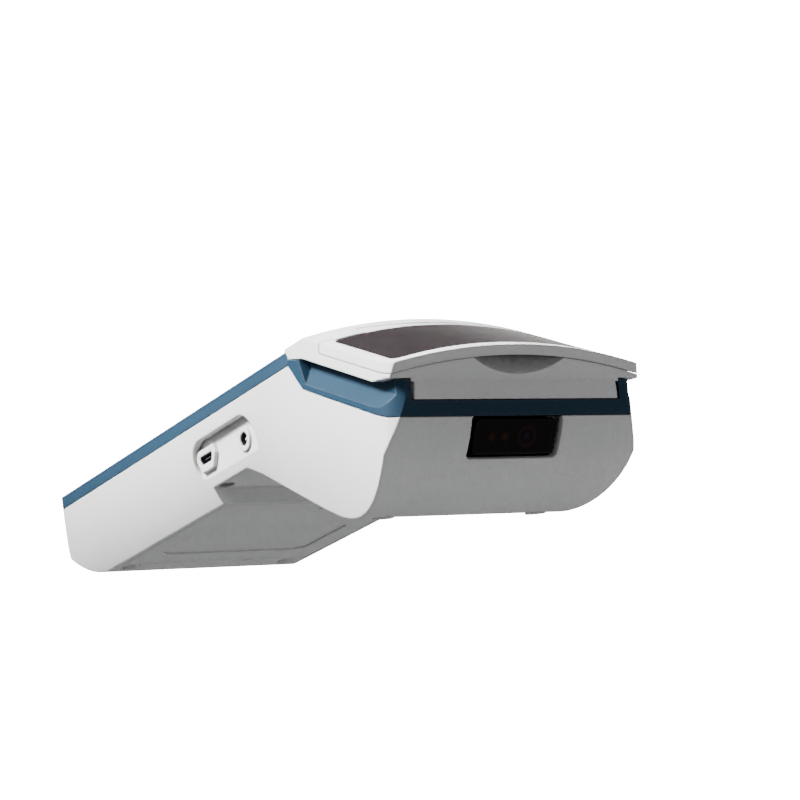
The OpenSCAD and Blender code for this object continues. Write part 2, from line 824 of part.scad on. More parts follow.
module case_screws() {
    // two pan-head screws at the head end of the battery bay
    color([0.55, 0.55, 0.57]) for (sx = [-1, 1]) slab() translate([sx * 22, 69, 0]) difference() {
        union() {
            translate([0, 0, 13.6]) cylinder(d = 4.4, h = 1.6);
            translate([0, 0, 15.2]) cylinder(d = 2.2, h = 9);
        }
        for (a = [0, 90]) rotate(a) translate([0, 0, 13.6]) cube([2.6, 0.5, 1.2], center = true);
    }
}

module chassis_screws() {
    // two screws that hold the printer cradle
    color([0.5, 0.5, 0.52]) for (sx = [-1, 1]) place() translate([sx * 19.6, 169, 0]) difference() {
        union() {
            translate([0, 0, 26.4]) cylinder(d = 3.4, h = 1.2);
            translate([0, 0, 22]) cylinder(d = 1.8, h = 4.4);
        }
        for (a = [0, 90]) rotate(a) translate([0, 0, 27.6]) cube([2, 0.4, 0.9], center = true);
    }
}

// ---------- output ----------

bottom_case();
mid_frame();
head_frame();
battery_cover();
cover_latch();
battery_pack();
battery_contacts();
rubber_feet();
case_screws();
touch_glass();
lcd_module();
nfc_antenna();
main_pcb();
shield_cans();
sim_sam_holders();
card_reader();
speaker();
usb_receptacle();
dc_jack();
power_button();
scan_button();
volume_rocker();
paper_lid();
lid_window();
hinge_pin();
lid_spring();
platen_carrier();
platen_roller();
platen_shaft();
platen_gear();
printer_chassis();
print_head();
heat_plate();
head_springs();
stepper_motor();
motor_pinion();
idler_gear();
tear_bar();
paper_bay();
paper_roll();
roll_core();
scan_window();
scan_engine();
scan_lens();
scan_leds();
chassis_screws();
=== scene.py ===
# Looks for the card payment terminal: a Blender 4.5 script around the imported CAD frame.
# Units are metres. X is across the device, +Y points to the printer head, Z is up.
import bpy
import bmesh
import math
from mathutils import Matrix, Vector


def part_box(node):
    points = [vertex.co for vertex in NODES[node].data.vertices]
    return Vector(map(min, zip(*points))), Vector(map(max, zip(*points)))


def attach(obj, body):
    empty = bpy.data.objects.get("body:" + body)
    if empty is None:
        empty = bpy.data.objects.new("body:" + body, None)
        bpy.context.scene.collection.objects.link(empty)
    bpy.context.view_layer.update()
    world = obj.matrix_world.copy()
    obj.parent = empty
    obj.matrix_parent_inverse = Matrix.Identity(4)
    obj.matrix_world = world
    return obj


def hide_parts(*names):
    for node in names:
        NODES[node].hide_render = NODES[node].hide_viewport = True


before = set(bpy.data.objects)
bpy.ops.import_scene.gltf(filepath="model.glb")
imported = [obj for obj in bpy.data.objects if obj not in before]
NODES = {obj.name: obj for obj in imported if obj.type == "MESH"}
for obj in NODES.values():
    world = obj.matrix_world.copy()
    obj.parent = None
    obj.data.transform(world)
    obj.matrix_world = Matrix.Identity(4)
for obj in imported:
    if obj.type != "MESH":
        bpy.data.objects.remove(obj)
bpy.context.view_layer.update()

# ---------------------------------------------------------------- camera
CAMERA_AT = Vector((0.43489, 0.71925, -0.05916))
CAMERA_LENS = 126.0
cam = bpy.data.objects.new("camera", bpy.data.cameras.new("camera"))
bpy.context.scene.collection.objects.link(cam)
cam.data.lens = CAMERA_LENS
cam.data.sensor_width = 36.0
cam.data.clip_start = 0.05
cam.data.clip_end = 60.0
ahead = Vector((-0.5373, -0.8350, 0.1184)).normalized()
right = Vector((-0.8434, 0.5309, -0.0818)).normalized()
up = right.cross(ahead).normalized()
cam.matrix_world = Matrix((
    (right.x, up.x, -ahead.x, CAMERA_AT.x),
    (right.y, up.y, -ahead.y, CAMERA_AT.y),
    (right.z, up.z, -ahead.z, CAMERA_AT.z),
    (0, 0, 0, 1)))
bpy.context.scene.camera = cam


# ---------------------------------------------------------------- node helpers
class Graph:
    """A material's node tree, with short calls for the nodes used here."""

    def __init__(self, name):
        self.mat = bpy.data.materials.new(name)
        self.mat.use_nodes = True
        self.t = self.mat.node_tree
        self.bsdf = self.t.nodes["Principled BSDF"]
        self.co = self.t.nodes.new("ShaderNodeTexCoord").outputs["Object"]

    @classmethod
    def over(cls, mat):
        """The graph of a material already made, to add to."""
        g = cls.__new__(cls)
        g.mat, g.t = mat, mat.node_tree
        g.bsdf = g.t.nodes["Principled BSDF"]
        g.co = g.t.nodes["Texture Coordinate"].outputs["Object"]
        return g

    def new(self, kind, **props):
        n = self.t.nodes.new(kind)
        for k, v in props.items():
            setattr(n, k, v)
        return n

    def link(self, a, b):
        self.t.links.new(a, b)

    def stretch(self, scale):
        n = self.new("ShaderNodeMapping")
        n.inputs["Scale"].default_value = scale
        self.link(self.co, n.inputs["Vector"])
        return n.outputs["Vector"]

    def noise(self, scale, detail=3.0, rough=0.5, co=None):
        n = self.new("ShaderNodeTexNoise")
        n.inputs["Scale"].default_value = scale
        n.inputs["Detail"].default_value = detail
        n.inputs["Roughness"].default_value = rough
        self.link(co or self.co, n.inputs["Vector"])
        return n.outputs["Fac"]

    def ramp(self, v, a, b, lo=0.0, hi=1.0):
        n = self.new("ShaderNodeMapRange")
        n.inputs["From Min"].default_value = a
        n.inputs["From Max"].default_value = b
        n.inputs["To Min"].default_value = lo
        n.inputs["To Max"].default_value = hi
        self.link(v, n.inputs["Value"])
        return n.outputs["Result"]

    def math(self, op, a, b=None):
        n = self.new("ShaderNodeMath", operation=op)
        for i, v in enumerate((a, b)):
            if v is None:
                continue
            if isinstance(v, (int, float)):
                n.inputs[i].default_value = v
            else:
                self.link(v, n.inputs[i])
        return n.outputs["Value"]

    def mix(self, fac, a, b):
        n = self.new("ShaderNodeMix", data_type="RGBA")
        for sock, v in ((n.inputs[0], fac), (n.inputs[6], a), (n.inputs[7], b)):
            if isinstance(v, (int, float)):
                sock.default_value = v
            elif isinstance(v, tuple):
                sock.default_value = (*v[:3], 1.0)
            else:
                self.link(v, sock)
        return n.outputs[2]

    def bump(self, height, strength, distance, normal=None):
        n = self.new("ShaderNodeBump")
        n.inputs["Strength"].default_value = strength
        n.inputs["Distance"].default_value = distance
        self.link(height, n.inputs["Height"])
        if normal is not None:
            self.link(normal, n.inputs["Normal"])
        return n.outputs["Normal"]

    def edge(self, radius):
        """1 on convex and concave edges, 0 on flats, from a rounded normal; also that normal."""
        b = self.new("ShaderNodeBevel", samples=4)
        b.inputs["Radius"].default_value = radius
        geo = self.new("ShaderNodeNewGeometry")
        dot = self.new("ShaderNodeVectorMath", operation="DOT_PRODUCT")
        self.link(b.outputs["Normal"], dot.inputs[0])
        self.link(geo.outputs["Normal"], dot.inputs[1])
        return self.ramp(dot.outputs["Value"], 0.995, 0.88), b.outputs["Normal"]


def tone(c, k):
    """A colour made k times as bright."""
    return tuple(min(1.0, max(0.0, v * k)) for v in c)


def moulded(name, colour, rough=0.42, grain=1500.0, depth=0.35, vary=0.05, worn=0.35, coat=0.0,
            edge=0.0005, seam_shade=0.0, spec=0.35):
    """Injection-moulded plastic: spark-eroded grain, slow tone drift, handled edges, painted shade in seams
    and along shallow steps.
    """
    g = Graph(name)
    drift = g.noise(22.0, 3.0)
    patch = g.noise(140.0, 4.0, 0.6)
    body = g.mix(g.ramp(drift, 0.3, 0.7), tone(colour, 1 - vary), tone(colour, 1 + vary * 0.6))
    body = g.mix(g.ramp(patch, 0.62, 0.9, 0, 0.12), body, tone(colour, 0.86))
    mask, rounded = g.edge(edge)
    rub = g.math("MULTIPLY", mask, g.ramp(g.noise(260.0, 4.0, 0.7), 0.4, 0.7, 0.15, worn))
    if seam_shade:
        # painted shade: ambient occlusion darkens the colour in seams and along shallow steps, where shade
        # falls
        occlusion = g.new("ShaderNodeAmbientOcclusion", samples=6)
        occlusion.inputs["Distance"].default_value = 0.0011
        seam_shade_amount = g.math("MULTIPLY", g.ramp(occlusion.outputs["AO"], 0.9, 0.35), seam_shade)
        body = g.mix(seam_shade_amount, body, tone(colour, 0.3))
    lifted = tuple(v + (0.92 - v) * 0.45 for v in colour)
    g.link(g.mix(rub, body, lifted), g.bsdf.inputs["Base Color"])
    r = g.ramp(g.noise(90.0, 5.0, 0.6), 0.3, 0.7, rough - 0.05, rough + 0.07)
    g.link(g.math("SUBTRACT", r, g.math("MULTIPLY", mask, 0.08)), g.bsdf.inputs["Roughness"])
    fine = g.noise(grain, 2.0, 0.55)
    ripple = g.noise(grain / 9.0, 2.0, 0.5)
    n = g.bump(ripple, depth * 0.25, 0.00006, rounded)
    g.link(g.bump(fine, depth, 0.00003, n), g.bsdf.inputs["Normal"])
    g.bsdf.inputs["Specular IOR Level"].default_value = spec
    g.bsdf.inputs["Coat Weight"].default_value = coat
    g.bsdf.inputs["Coat Roughness"].default_value = 0.12
    return g.mat


def metal(name, colour, rough=0.3, along=(1.0, 1.0, 1.0), scratch=700.0, stain=0.12):
    """Drawn or stamped metal: lay lines along one axis, fine scratches, dulled patches."""
    g = Graph(name)
    lay = g.noise(scratch, 3.0, 0.6, g.stretch(along))
    patch = g.noise(180.0, 4.0, 0.6)
    g.bsdf.inputs["Metallic"].default_value = 1.0
    g.link(g.mix(g.ramp(patch, 0.35, 0.75), tone(colour, 1.04), tone(colour, 1 - stain)),
           g.bsdf.inputs["Base Color"])
    uneven = g.math("ADD", lay, g.math("MULTIPLY", patch, 0.5))
    g.link(g.ramp(uneven, 0.4, 1.1, rough - 0.09, rough + 0.14), g.bsdf.inputs["Roughness"])
    mask, rounded = g.edge(0.00018)
    g.link(g.bump(lay, 0.25, 0.00002, rounded), g.bsdf.inputs["Normal"])
    return g.mat


def rubber(name, colour, rough=0.8):
    """Matte rubber: dust in a fine grain."""
    g = Graph(name)
    dust = g.noise(420.0, 5.0, 0.7)
    g.link(g.mix(g.ramp(dust, 0.5, 0.85, 0, 0.5), colour, tuple(v + (0.55 - v) * 0.35 for v in colour)),
           g.bsdf.inputs["Base Color"])
    g.link(g.ramp(dust, 0.3, 0.8, rough - 0.08, rough + 0.12), g.bsdf.inputs["Roughness"])
    mask, rounded = g.edge(0.0003)
    g.link(g.bump(g.noise(2400.0, 3.0), 0.5, 0.00005, rounded), g.bsdf.inputs["Normal"])
    return g.mat


def smoked(name, colour, rough=0.08, haze=0.06):
    """Glossy tinted plastic with dust haze and hairline swirls."""
    g = Graph(name)
    swirl = g.noise(900.0, 5.0, 0.75, g.stretch((1.0, 6.0, 1.0)))
    dust = g.noise(60.0, 6.0, 0.7)
    g.link(g.mix(g.ramp(dust, 0.45, 0.8, 0, 0.35), colour, tuple(v + haze for v in colour)),
           g.bsdf.inputs["Base Color"])
    g.link(g.ramp(swirl, 0.45, 0.85, rough, rough + 0.13), g.bsdf.inputs["Roughness"])
    mask, rounded = g.edge(0.0004)
    g.link(g.bump(g.noise(70.0, 2.0), 0.08, 0.0001, rounded), g.bsdf.inputs["Normal"])
    g.bsdf.inputs["Coat Weight"].default_value = 0.6
    g.bsdf.inputs["Coat Roughness"].default_value = 0.04
    return g.mat


WHITE = (0.84, 0.84, 0.835)
BLUE = (0.013, 0.041, 0.074)
# middle of the ball that cuts the finger scoop, and its radius
SCOOP_CENTRE = Vector((0.0, 0.2163 - 0.0785, 0.0511))
SCOOP_RADIUS = 0.03812


def head_white():
    """The head's white shell; its finger scoop is darkened with painted shade, darkest up under the lid."""
    mat = moulded("head_white", (0.86, 0.86, 0.855), 0.4, 2100.0, 0.28, edge=0.0007, seam_shade=0.4)
    g = Graph.over(mat)
    d = g.new("ShaderNodeVectorMath", operation="DISTANCE")
    g.link(g.co, d.inputs[0])
    d.inputs[1].default_value = SCOOP_CENTRE
    scoop = g.ramp(d.outputs["Value"], SCOOP_RADIUS + 0.00023, SCOOP_RADIUS)
    split = g.new("ShaderNodeSeparateXYZ")
    g.link(g.co, split.inputs[0])
    # painted shade in the finger scoop, strongest up under the lid's overhang
    high = g.ramp(split.outputs["Z"], 0.0325, 0.0405, 0.25, 1.0)
    scoop_shade = g.math("MULTIPLY", high, g.ramp(g.noise(300.0, 4.0), 0.3, 0.7, 0.82, 0.95))
    base = g.bsdf.inputs["Base Color"].links[0].from_socket
    g.link(g.mix(g.math("MULTIPLY", scoop, scoop_shade), base, (0.12, 0.12, 0.12)),
           g.bsdf.inputs["Base Color"])
    return mat


M = {
    "case": moulded("shell_white", WHITE, 0.44, 1700.0, 0.4, edge=0.0008, seam_shade=0.4),
    "head": head_white(),
    "lid": moulded("lid_white", (0.88, 0.88, 0.875), 0.38, 2300.0, 0.22, edge=0.0007, seam_shade=0.4),
    "cover": moulded("cover_white", (0.82, 0.82, 0.815), 0.5, 1300.0, 0.5, seam_shade=0.6),
    "blue": moulded("rim_blue", BLUE, 0.55, 1500.0, 0.3, 0.12, 0.07, spec=0.2),
    "grey": moulded("key_grey", (0.28, 0.30, 0.33), 0.5, 1600.0, 0.4),
    "orange": moulded("key_orange", (0.72, 0.25, 0.03), 0.45, 1600.0, 0.35),
    "black": moulded("moulded_black", (0.022, 0.022, 0.025), 0.5, 1300.0, 0.5, 0.3, 0.12),
    "latch": moulded("latch_grey", (0.16, 0.165, 0.175), 0.52, 1400.0, 0.45),
    "bracket": moulded("bracket_black", (0.05, 0.05, 0.055), 0.55, 1200.0, 0.5, 0.2, 0.12),
    "bay": moulded("bay_grey", (0.11, 0.11, 0.12), 0.5, 1200.0, 0.45, 0.12, 0.2),
    "battery": moulded("battery_wrap", (0.035, 0.038, 0.045), 0.38, 500.0, 0.3, 0.2, 0.12, 0.2),
    "gear": moulded("acetal_ivory", (0.72, 0.68, 0.55), 0.36, 2500.0, 0.15, 0.06, 0.2),
    "steel": metal("plated_steel", (0.56, 0.56, 0.58), 0.3),
    "shaft": metal("ground_shaft", (0.62, 0.62, 0.64), 0.2, (40.0, 1.0, 1.0), 500.0, 0.06),
    "spring": metal("spring_wire", (0.42, 0.42, 0.44), 0.28),
    "sheet": metal("zinc_sheet", (0.55, 0.56, 0.58), 0.36, (1.0, 12.0, 1.0), 300.0, 0.18),
    "tear": metal("tear_steel", (0.6, 0.6, 0.62), 0.24, (1.0, 1.0, 30.0), 500.0),
    "can": metal("shield_tin", (0.6, 0.6, 0.6), 0.32, (1.0, 10.0, 1.0), 260.0, 0.15),
    "port": metal("socket_steel", (0.12, 0.12, 0.13), 0.4),
    "gold": metal("contact_gold", (0.85, 0.6, 0.22), 0.26),
    "copper": metal("antenna_copper", (0.72, 0.34, 0.18), 0.35),
    "brass": metal("pinion_brass", (0.72, 0.52, 0.2), 0.3),
    "plate": metal("head_plate", (0.62, 0.63, 0.64), 0.42, (20.0, 1.0, 1.0), 300.0, 0.12),
    "foot": rubber("foot_rubber", (0.72, 0.72, 0.72), 0.6),
    "platen": rubber("platen_rubber", (0.02, 0.02, 0.021), 0.7),
}


def window_smoked():
    """Smoked lid window: a satin film with a painted reflection that lightens it towards the far end."""
    g = Graph("window_smoked")
    split = g.new("ShaderNodeSeparateXYZ")
    g.link(g.co, split.inputs[0])
    # painted reflection: the window's colour lightens towards the far end
    along = g.ramp(split.outputs["X"], 0.034, -0.030)
    painted_sheen = g.math("POWER", along, 3.2)
    base = g.mix(painted_sheen, (0.017, 0.012, 0.0135), (0.34, 0.325, 0.315))
    dust = g.noise(70.0, 6.0, 0.7)
    g.link(g.mix(g.ramp(dust, 0.45, 0.85, 0, 0.06), base, (0.2, 0.19, 0.19)), g.bsdf.inputs["Base Color"])
    g.link(g.ramp(g.noise(800.0, 5.0, 0.7), 0.4, 0.8, 0.16, 0.3), g.bsdf.inputs["Roughness"])
    mask, rounded = g.edge(0.0004)
    g.link(g.bump(g.noise(60.0, 2.0), 0.06, 0.0001, rounded), g.bsdf.inputs["Normal"])
    g.bsdf.inputs["Specular IOR Level"].default_value = 0.06
    return g.mat


def spot(g, centre, r0, r1):
    """1 inside r0 of a point in the object's own frame, 0 outside r1."""
    d = g.new("ShaderNodeVectorMath", operation="DISTANCE")
    g.link(g.co, d.inputs[0])
    d.inputs[1].default_value = centre
    return g.ramp(d.outputs["Value"], r1, r0)


def window_scan():
    """Red-black scan window with the lens and two lights faintly showing behind it."""
    g = Graph("window_scan")
    lo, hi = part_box("scan_window")
    mid = (lo + hi) / 2
    face = Vector((0, math.cos(math.radians(24)), -math.sin(math.radians(24)))) * 0.0006
    lens = mid + Vector((-0.004, 0, 0)) + face
    cloud = g.ramp(g.noise(120.0, 4.0), 0.4, 0.8, 0, 0.5)
    base = g.mix(cloud, (0.0028, 0.0010, 0.0010), (0.0055, 0.0018, 0.0018))
    ring = g.math("SUBTRACT", spot(g, lens, 0.0028, 0.0031), spot(g, lens, 0.0021, 0.0024))
    base = g.mix(g.math("MULTIPLY", ring, 0.6), base, (0.03, 0.010, 0.009))
    base = g.mix(g.math("MULTIPLY", spot(g, lens, 0.0009, 0.0013), 0.7), base, (0.018, 0.010, 0.022))
    for dx in (0.0032, 0.0074):
        base = g.mix(g.math("MULTIPLY", spot(g, mid + Vector((dx, 0, 0)) + face, 0.0008, 0.0014), 0.55),
                     base, (0.045, 0.014, 0.010))
    g.link(base, g.bsdf.inputs["Base Color"])
    g.link(g.ramp(g.noise(700.0, 5.0, 0.7), 0.4, 0.8, 0.06, 0.16), g.bsdf.inputs["Roughness"])
    mask, rounded = g.edge(0.0003)
    g.link(g.bump(g.noise(60.0, 2.0), 0.05, 0.0001, rounded), g.bsdf.inputs["Normal"])
    g.bsdf.inputs["Specular IOR Level"].default_value = 0.22
    return g.mat


TILT = math.radians(9)


def glass_front():
    """Front glass: black border, slightly lighter display field, three touch marks, smudges."""
    g = Graph("front_glass")
    lo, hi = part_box("touch_glass")
    mid = (lo + hi) / 2
    m = g.new("ShaderNodeMapping", vector_type="POINT")
    back = Matrix.Rotation(-TILT, 3, "X") @ (-mid)
    m.inputs["Rotation"].default_value = (-TILT, 0, 0)
    m.inputs["Location"].default_value = back
    g.link(g.co, m.inputs["Vector"])
    split = g.new("ShaderNodeSeparateXYZ")
    g.link(m.outputs["Vector"], split.inputs[0])
    ax = g.math("ABSOLUTE", split.outputs["X"])
    ay = g.math("ABSOLUTE", g.math("SUBTRACT", split.outputs["Y"], 0.0035))
    field = g.math("MULTIPLY", g.ramp(ax, 0.0343, 0.0339), g.ramp(ay, 0.0615, 0.0611))
    base = g.mix(field, (0.0035, 0.0035, 0.004), (0.012, 0.0135, 0.017))
    # outlined marks, drawn between two sizes of the same shape
    marks = None
    for x, kind in ((-0.018, "diamond"), (0.0, "ring"), (0.018, "square")):
        dx = g.math("ABSOLUTE", g.math("SUBTRACT", split.outputs["X"], x))
        dy = g.math("ABSOLUTE", g.math("SUBTRACT", split.outputs["Y"], -0.0665))
        if kind == "ring":
            d = g.math("SQRT", g.math("ADD", g.math("MULTIPLY", dx, dx), g.math("MULTIPLY", dy, dy)))
        elif kind == "square":
            d = g.math("MAXIMUM", dx, dy)
        else:
            d = g.math("ADD", dx, g.math("MULTIPLY", dy, 0.8))
        line = g.math("SUBTRACT", g.ramp(d, 0.00205, 0.00195), g.ramp(d, 0.00165, 0.00155))
        marks = line if marks is None else g.math("MAXIMUM", marks, line)
    base = g.mix(g.math("MULTIPLY", marks, 0.8), base, (0.35, 0.36, 0.37))
    smudge = g.noise(45.0, 6.0, 0.65)
    g.link(g.mix(g.ramp(smudge, 0.45, 0.95, 0, 0.1), base, (0.06, 0.062, 0.065)),
           g.bsdf.inputs["Base Color"])
    g.link(g.ramp(smudge, 0.3, 0.9, 0.1, 0.16), g.bsdf.inputs["Roughness"])
    mask, rounded = g.edge(0.0004)
    g.link(g.bump(g.noise(40.0, 2.0), 0.03, 0.0001, rounded), g.bsdf.inputs["Normal"])
    g.bsdf.inputs["Coat Weight"].default_value = 1.0
    g.bsdf.inputs["Coat Roughness"].default_value = 0.03
    return g.mat


def board_green():
    """Circuit board: solder mask over a faint grid of tracks."""
    g = Graph("board_green")
    brick = g.new("ShaderNodeTexBrick")
    brick.inputs["Scale"].default_value = 260.0
    brick.inputs["Mortar Size"].default_value = 0.05
    brick.inputs["Color1"].default_value = (0.012, 0.11, 0.055, 1)
    brick.inputs["Color2"].default_value = (0.010, 0.085, 0.045, 1)
    brick.inputs["Mortar"].default_value = (0.03, 0.2, 0.1, 1)
    g.link(g.co, brick.inputs["Vector"])
    g.link(g.mix(g.ramp(g.noise(90.0, 4.0), 0.4, 0.8, 0, 0.6), brick.outputs["Color"], (0.008, 0.07, 0.04)),
           g.bsdf.inputs["Base Color"])
    g.link(g.ramp(g.noise(500.0, 4.0), 0.3, 0.8, 0.25, 0.45), g.bsdf.inputs["Roughness"])
    g.link(g.bump(brick.outputs["Fac"], 0.2, 0.00003), g.bsdf.inputs["Normal"])
    return g.mat


def paper_white():
    """Thermal paper: wound layers on the ends of the roll, faint fibre on the outside."""
    g = Graph("paper_white")
    lo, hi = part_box("paper_roll")
    mid = (lo + hi) / 2
    m = g.new("ShaderNodeVectorMath", operation="SUBTRACT")
    g.link(g.co, m.inputs[0])
    m.inputs[1].default_value = mid
    flat = g.new("ShaderNodeVectorMath", operation="MULTIPLY")
    g.link(m.outputs[0], flat.inputs[0])
    flat.inputs[1].default_value = (0, 1, 1)
    size = g.new("ShaderNodeVectorMath", operation="LENGTH")
    g.link(flat.outputs[0], size.inputs[0])
    layers = g.new("ShaderNodeTexNoise")
    layers.noise_dimensions = "1D"
    layers.inputs["Scale"].default_value = 9000.0
    layers.inputs["Detail"].default_value = 2.0
    g.link(size.outputs["Value"], layers.inputs["W"])
    fibre = g.noise(1800.0, 5.0, 0.7, g.stretch((1.0, 3.0, 3.0)))
    base = g.mix(g.ramp(layers.outputs["Fac"], 0.3, 0.7, 0, 0.5), (0.86, 0.86, 0.84), (0.7, 0.7, 0.68))
    g.link(g.mix(g.ramp(fibre, 0.4, 0.7, 0, 0.25), base, (0.78, 0.78, 0.75)), g.bsdf.inputs["Base Color"])
    g.link(g.ramp(fibre, 0.3, 0.7, 0.55, 0.75), g.bsdf.inputs["Roughness"])
    n = g.bump(layers.outputs["Fac"], 0.3, 0.00004)
    g.link(g.bump(fibre, 0.2, 0.00003, n), g.bsdf.inputs["Normal"])
    return g.mat


def ceramic():
    """The print head's ceramic: fine grain, slightly uneven tone."""
    g = Graph("head_ceramic")
    g.link(g.mix(g.ramp(g.noise(800.0, 4.0), 0.4, 0.7), (0.74, 0.69, 0.56), (0.64, 0.59, 0.47)),
           g.bsdf.inputs["Base Color"])
    g.link(g.ramp(g.noise(300.0, 3.0), 0.3, 0.7, 0.3, 0.45), g.bsdf.inputs["Roughness"])
    g.link(g.bump(g.noise(2500.0, 3.0), 0.25, 0.00002), g.bsdf.inputs["Normal"])
    return g.mat


def card_core():
    """Brown card of the roll's core."""
    g = Graph("core_card")
    fibre = g.noise(900.0, 6.0, 0.75, g.stretch((1.0, 2.0, 2.0)))
    g.link(g.mix(fibre, (0.28, 0.19, 0.11), (0.45, 0.33, 0.21)), g.bsdf.inputs["Base Color"])
    g.link(g.ramp(fibre, 0.3, 0.7, 0.75, 0.95), g.bsdf.inputs["Roughness"])
    g.link(g.bump(fibre, 0.5, 0.00006), g.bsdf.inputs["Normal"])
    return g.mat


M["window"] = window_smoked()
M["scan"] = window_scan()
M["glass"] = glass_front()
M["board"] = board_green()
M["paper"] = paper_white()
M["ceramic"] = ceramic()
M["core"] = card_core()
M["lens"] = smoked("lens_coated", (0.012, 0.01, 0.03), 0.05, 0.02)
M["led"] = smoked("led_resin", (0.62, 0.52, 0.22), 0.15, 0.05)
M["lcd"] = smoked("lcd_black", (0.012, 0.012, 0.015), 0.2, 0.02)

LOOK = {
    "bottom_case": "case", "mid_frame": "blue", "head_frame": "head", "battery_cover": "cover",
    "cover_latch": "latch", "battery_pack": "battery", "battery_contacts": "gold",
    "rubber_feet": "foot", "case_screws": "steel", "chassis_screws": "steel", "touch_glass": "glass",
    "lcd_module": "lcd", "nfc_antenna": "copper", "main_pcb": "board", "shield_cans": "can",
    "sim_sam_holders": "can", "card_reader": "black", "speaker": "black", "usb_receptacle": "port",
    "dc_jack": "black", "power_button": "grey", "scan_button": "orange", "volume_rocker": "grey",
    "paper_lid": "lid", "lid_window": "window", "hinge_pin": "shaft", "lid_spring": "spring",
    "platen_carrier": "bracket", "platen_roller": "platen", "platen_shaft": "shaft",
    "platen_gear": "gear", "printer_chassis": "sheet", "print_head": "ceramic", "heat_plate": "plate",
    "head_springs": "spring", "stepper_motor": "can", "motor_pinion": "brass", "idler_gear": "gear",
    "tear_bar": "tear", "paper_bay": "bay", "paper_roll": "paper", "roll_core": "core",
    "scan_window": "scan", "scan_engine": "black", "scan_lens": "lens", "scan_leds": "led",
}


# ---------------------------------------------------------------- shading of the CAD meshes
def smooth_group(limit):
    """Shades smooth across facets below the limit angle and keeps real edges."""
    g = bpy.data.node_groups.new("smooth_facets", "GeometryNodeTree")
    g.interface.new_socket("Geometry", in_out="INPUT", socket_type="NodeSocketGeometry")
    g.interface.new_socket("Geometry", in_out="OUTPUT", socket_type="NodeSocketGeometry")
    start = g.nodes.new("NodeGroupInput")
    end = g.nodes.new("NodeGroupOutput")
    drop = g.nodes.new("GeometryNodeRemoveAttribute")
    drop.inputs["Name"].default_value = "custom_normal"
    merge = g.nodes.new("GeometryNodeMergeByDistance")
    merge.inputs["Distance"].default_value = 0.000002
    angle = g.nodes.new("GeometryNodeInputMeshEdgeAngle")
    less = g.nodes.new("FunctionNodeCompare")
    less.operation = "LESS_THAN"
    less.inputs[1].default_value = math.radians(limit)
    faces = g.nodes.new("GeometryNodeSetShadeSmooth")
    faces.domain = "FACE"
    edges = g.nodes.new("GeometryNodeSetShadeSmooth")
    edges.domain = "EDGE"
    g.links.new(start.outputs[0], drop.inputs[0])
    g.links.new(drop.outputs[0], merge.inputs[0])
    g.links.new(merge.outputs[0], faces.inputs["Geometry"])
    g.links.new(faces.outputs[0], edges.inputs["Geometry"])
    g.links.new(angle.outputs["Unsigned Angle"], less.inputs[0])
    g.links.new(less.outputs[0], edges.inputs["Shade Smooth"])
    g.links.new(edges.outputs[0], end.inputs[0])
    return g


SMOOTH = smooth_group(limit=22)

for name, obj in NODES.items():
    mat = M[LOOK[name]]
    if not obj.material_slots:
        obj.data.materials.append(None)
    for s in obj.material_slots:
        s.link = "OBJECT"
        s.material = mat
    mod = obj.modifiers.new("smooth", "NODES")
    mod.node_group = SMOOTH


# ---------------------------------------------------------------- pieces made here
def piece(name, bm, mat, body, smooth=True):
    """Makes an object of a bmesh, gives it its material and lets it ride on a body."""
    me = bpy.data.meshes.new(name)
    bmesh.ops.recalc_face_normals(bm, faces=bm.faces)
    bm.to_mesh(me)
    bm.free()
    if smooth:
        for p in me.polygons:
            p.use_smooth = True
    o = bpy.data.objects.new(name, me)
    bpy.context.scene.collection.objects.link(o)
    o.data.materials.append(mat)
    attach(o, body)
    return o


def tube(bm, pts, r, sides=10):
    """A round wire along points, with parallel-carried frames and closed ends."""
    rings = []
    n = len(pts)
    t0 = (pts[1] - pts[0]).normalized()
    u = t0.orthogonal().normalized()
    for i, p in enumerate(pts):
        t = (pts[min(i + 1, n - 1)] - pts[max(i - 1, 0)]).normalized()
        u = (u - t * u.dot(t)).normalized()
        v = t.cross(u)
        rings.append([bm.verts.new(p + (u * math.cos(a) + v * math.sin(a)) * r)
                      for a in (2 * math.pi * k / sides for k in range(sides))])
    for a, b in zip(rings, rings[1:]):
        for k in range(sides):
            bm.faces.new((a[k], a[(k + 1) % sides], b[(k + 1) % sides], b[k]))
    bm.faces.new(rings[0][::-1])
    bm.faces.new(rings[-1])


COIL_POINTS_PER_TURN = 28


def coil(name, centre, axis, radius, wire, length, turns, mat, body):
    """A helical wire spring centred on a point, wound along an axis."""
    axis = axis.normalized()
    u = axis.orthogonal().normalized()
    v = axis.cross(u)
    pts = []
    steps = int(turns * COIL_POINTS_PER_TURN)
    for i in range(steps + 1):
        a = 2 * math.pi * turns * i / steps
        pts.append(centre + axis * (length * (i / steps - 0.5))
                   + (u * math.cos(a) + v * math.sin(a)) * radius)
    bm = bmesh.new()
    tube(bm, pts, wire / 2)
    return piece(name, bm, mat, body)


WIRE = 0.0007
low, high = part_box("lid_spring")
o = coil("lid_spring_coil", (low + high) / 2, Vector((1, 0, 0)), radius=0.00155, wire=WIRE,
         length=(high.x - low.x) - WIRE, turns=8.5, mat=M["spring"], body="case")
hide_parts("lid_spring")

# the handset slab's origin in the frame, and the two sockets' places in the slab, in mm
SLAB_Y, SLAB_Z = -78.5, 0.72
USB_S, USB_T = 79.4, 13.1
JACK_S, JACK_T = 101.8, 12.4


def slab_point(x, s, t):
    """A point given across, along and out of the tilted handset slab, in mm."""
    c, k = math.cos(TILT), math.sin(TILT)
    return Vector((x, s * c - t * k + SLAB_Y, SLAB_Z + s * k + t * c)) / 1000


